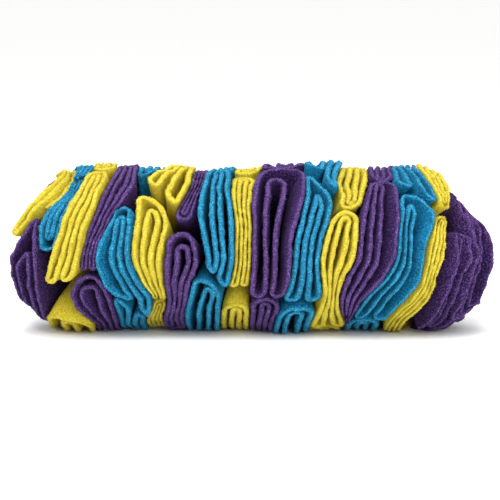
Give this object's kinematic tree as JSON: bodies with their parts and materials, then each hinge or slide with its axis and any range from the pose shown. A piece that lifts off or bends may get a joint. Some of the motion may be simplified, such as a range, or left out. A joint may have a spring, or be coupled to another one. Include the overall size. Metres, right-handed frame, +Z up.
{
  "type": "snuffle stick",
  "caption": "Stick-shaped snuffle toy for a dog: fleece rounds folded in quarters, held along a middle line, with open folds between their layers for hiding treats.",
  "frame": {"origin": "under the middle of the stick, on the surface that it rests on", "axes": "+X along the stick, towards the end with two purple rounds; -Y is the front in the picture; +Z up"},
  "size_m": [0.2972, 0.1088, 0.1045],
  "materials": {
    "fleece_purple": "short pile fleece, matt",
    "fleece_blue": "short pile fleece, matt",
    "fleece_yellow": "short pile fleece, matt"
  },
  "bodies": {
    "root": {"p1_front": "fleece_purple", "y1_top": "fleece_yellow", "p1_back": "fleece_purple", "p1_low": "fleece_purple", "b2_front": "fleece_blue", "b2_top": "fleece_blue", "b2_back": "fleece_blue", "y3_front": "fleece_yellow", "y3_top": "fleece_yellow", "y3_back": "fleece_yellow", "y3_low": "fleece_yellow", "p4_front": "fleece_purple", "p4_top": "fleece_purple", "p4_back": "fleece_purple", "p4_low": "fleece_purple", "b5_front": "fleece_blue", "b5_top": "fleece_blue", "b5_back": "fleece_blue", "b5_low": "fleece_blue", "y6_front": "fleece_yellow", "y6_top": "fleece_yellow", "y6_back": "fleece_yellow", "y6_low": "fleece_yellow", "p7_front": "fleece_purple", "p7_top": "fleece_purple", "p7_back": "fleece_purple", "p7_low": "fleece_purple", "b8_front": "fleece_blue", "b8_top": "fleece_blue", "b8_back": "fleece_blue", "b8_low": "fleece_blue", "y9_front": "fleece_yellow", "y9_top": "fleece_yellow", "y9_back": "fleece_yellow", "y9_low": "fleece_yellow", "p10_front": "fleece_purple", "p10_back": "fleece_purple", "p10_low": "fleece_purple", "b11_front": "fleece_blue", "b11_top": "fleece_blue", "b11_back": "fleece_blue", "b11_low": "fleece_blue", "y12_front": "fleece_yellow", "y12_top": "fleece_yellow", "y12_back": "fleece_yellow", "y12_low": "fleece_yellow", "p13_front": "fleece_purple", "p13_top": "fleece_purple", "p13_back": "fleece_purple", "b14_front": "fleece_blue", "b14_top": "fleece_blue", "b14_back": "fleece_blue", "b14_low": "fleece_blue", "y15_front": "fleece_yellow", "y15_top": "fleece_yellow", "y15_back": "fleece_yellow", "p16_front": "fleece_purple", "p17_front": "fleece_purple", "p17_back": "fleece_purple", "p17_low": "fleece_purple"}
  },
  "joints": []
}
